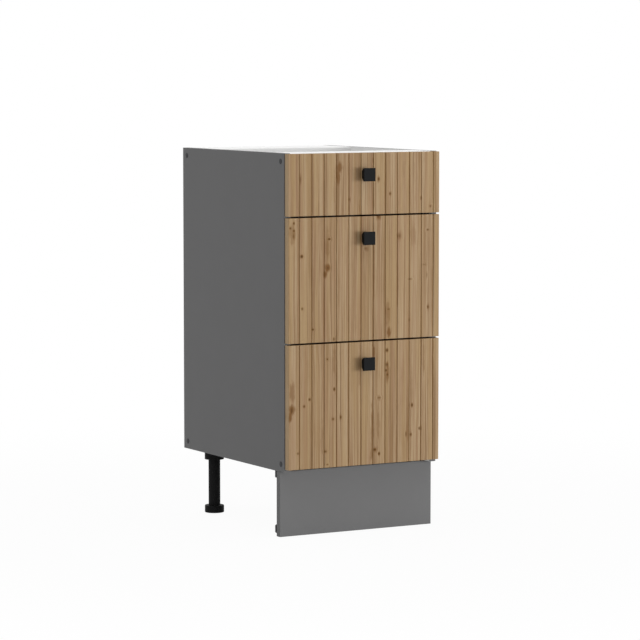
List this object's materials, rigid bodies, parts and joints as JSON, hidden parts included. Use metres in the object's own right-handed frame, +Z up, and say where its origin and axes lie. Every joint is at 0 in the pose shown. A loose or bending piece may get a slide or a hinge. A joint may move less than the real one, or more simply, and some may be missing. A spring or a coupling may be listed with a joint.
{
  "type": "kitchen base cabinet",
  "caption": "Kitchen base cabinet with grooved oak-look drawer fronts, square knobs, steel-sided drawers on roller runners, screw legs and a clip-on plinth.",
  "frame": {"origin": "on the floor, at the centre of the cabinet's box seen from above", "axes": "+Z up, +X to the right seen from the front, -Y to the front with the drawer fronts"},
  "size_m": [0.402, 0.539, 0.87],
  "materials": {
    "side_board": "matt laminate, anthracite outside and on the edges, white inside",
    "white_board": "matt white laminate",
    "back_board": "white lacquered fibreboard",
    "rail_steel": "white powder coat",
    "runner_steel": "white powder coat",
    "oak_front": "grooved oak-look board, satin",
    "plinth_board": "matt anthracite laminate",
    "knob_black": "satin black",
    "black_plastic": "moulded, fine texture",
    "cap_plastic": "moulded",
    "zinc": "zinc plated",
    "nylon": "natural nylon",
    "beech": "bare",
    "buffer_rubber": "clear bumper"
  },
  "bodies": {
    "carcass": {"side_left": "side_board", "side_right": "side_board", "bottom_panel": "white_board", "front_rail": "rail_steel", "rear_rail": "rail_steel", "back_panel": "back_board", "carcass_screws": "zinc", "screw_caps": "cap_plastic", "dowels": "beech", "buffers": "buffer_rubber", "top_runner_left": "runner_steel", "top_runner_right": "runner_steel", "middle_runner_left": "runner_steel", "middle_runner_right": "runner_steel", "bottom_runner_left": "runner_steel", "bottom_runner_right": "runner_steel", "runner_screws": "zinc", "leg_sockets": "black_plastic", "leg_tubes": "black_plastic", "leg_screws": "zinc"},
    "top_drawer": {"top_front": "oak_front", "top_knob": "knob_black", "top_knob_screw": "zinc", "top_side_left": "runner_steel", "top_side_right": "runner_steel", "top_floor": "white_board", "top_back": "white_board", "top_brackets": "zinc", "top_box_screws": "zinc"},
    "middle_drawer": {"middle_front": "oak_front", "middle_knob": "knob_black", "middle_knob_screw": "zinc", "middle_side_left": "runner_steel", "middle_side_right": "runner_steel", "middle_floor": "white_board", "middle_back": "white_board", "middle_brackets": "zinc", "middle_box_screws": "zinc"},
    "bottom_drawer": {"bottom_front": "oak_front", "bottom_knob": "knob_black", "bottom_knob_screw": "zinc", "bottom_side_left": "runner_steel", "bottom_side_right": "runner_steel", "bottom_floor": "white_board", "bottom_back": "white_board", "bottom_brackets": "zinc", "bottom_box_screws": "zinc"},
    "top_cabinet_rollers": {"top_cabinet_rollers": "nylon"},
    "top_drawer_rollers": {"top_drawer_rollers": "nylon"},
    "middle_cabinet_rollers": {"middle_cabinet_rollers": "nylon"},
    "middle_drawer_rollers": {"middle_drawer_rollers": "nylon"},
    "bottom_cabinet_rollers": {"bottom_cabinet_rollers": "nylon"},
    "bottom_drawer_rollers": {"bottom_drawer_rollers": "nylon"},
    "foot_front_left": {"foot_front_left": "black_plastic"},
    "foot_front_right": {"foot_front_right": "black_plastic"},
    "foot_rear_left": {"foot_rear_left": "black_plastic"},
    "foot_rear_right": {"foot_rear_right": "black_plastic"},
    "plinth": {"plinth_board": "plinth_board", "plinth_clips": "black_plastic", "plinth_clip_screws": "zinc"}
  },
  "joints": [
    {"name": "top_drawer_slide", "type": "slide", "parent": "carcass", "child": "top_drawer", "axis": [0, -1, 0], "range_m": [0, 0.35]},
    {"name": "middle_drawer_slide", "type": "slide", "parent": "carcass", "child": "middle_drawer", "axis": [0, -1, 0], "range_m": [0, 0.35]},
    {"name": "bottom_drawer_slide", "type": "slide", "parent": "carcass", "child": "bottom_drawer", "axis": [0, -1, 0], "range_m": [0, 0.35]},
    {"name": "top_cabinet_rollers_spin", "type": "hinge", "parent": "carcass", "child": "top_cabinet_rollers", "pos_m": [0, -0.2145, 0.7605], "axis": [1, 0, 0], "continuous": true},
    {"name": "top_drawer_rollers_spin", "type": "hinge", "parent": "top_drawer", "child": "top_drawer_rollers", "pos_m": [0, 0.2075, 0.7605], "axis": [1, 0, 0], "continuous": true},
    {"name": "middle_cabinet_rollers_spin", "type": "hinge", "parent": "carcass", "child": "middle_cabinet_rollers", "pos_m": [0, -0.2145, 0.4745], "axis": [1, 0, 0], "continuous": true},
    {"name": "middle_drawer_rollers_spin", "type": "hinge", "parent": "middle_drawer", "child": "middle_drawer_rollers", "pos_m": [0, 0.2075, 0.4745], "axis": [1, 0, 0], "continuous": true},
    {"name": "bottom_cabinet_rollers_spin", "type": "hinge", "parent": "carcass", "child": "bottom_cabinet_rollers", "pos_m": [0, -0.2145, 0.1885], "axis": [1, 0, 0], "continuous": true},
    {"name": "bottom_drawer_rollers_spin", "type": "hinge", "parent": "bottom_drawer", "child": "bottom_drawer_rollers", "pos_m": [0, 0.2075, 0.1885], "axis": [1, 0, 0], "continuous": true},
    {"name": "foot_front_left_screw", "type": "slide", "parent": "carcass", "child": "foot_front_left", "axis": [0, 0, -1], "range_m": [0, 0.025]},
    {"name": "foot_front_right_screw", "type": "slide", "parent": "carcass", "child": "foot_front_right", "axis": [0, 0, -1], "range_m": [0, 0.025]},
    {"name": "foot_rear_left_screw", "type": "slide", "parent": "carcass", "child": "foot_rear_left", "axis": [0, 0, -1], "range_m": [0, 0.025]},
    {"name": "foot_rear_right_screw", "type": "slide", "parent": "carcass", "child": "foot_rear_right", "axis": [0, 0, -1], "range_m": [0, 0.025]},
    {"name": "plinth_pull", "type": "slide", "parent": "carcass", "child": "plinth", "axis": [0, -1, 0], "range_m": [0, 0.06]}
  ],
  "couplings": [
    {"joint": "top_cabinet_rollers_spin", "follows": "top_drawer_slide", "rad_per_m": 125},
    {"joint": "top_drawer_rollers_spin", "follows": "top_drawer_slide", "rad_per_m": 125},
    {"joint": "middle_cabinet_rollers_spin", "follows": "middle_drawer_slide", "rad_per_m": 125},
    {"joint": "middle_drawer_rollers_spin", "follows": "middle_drawer_slide", "rad_per_m": 125},
    {"joint": "bottom_cabinet_rollers_spin", "follows": "bottom_drawer_slide", "rad_per_m": 125},
    {"joint": "bottom_drawer_rollers_spin", "follows": "bottom_drawer_slide", "rad_per_m": 125}
  ]
}
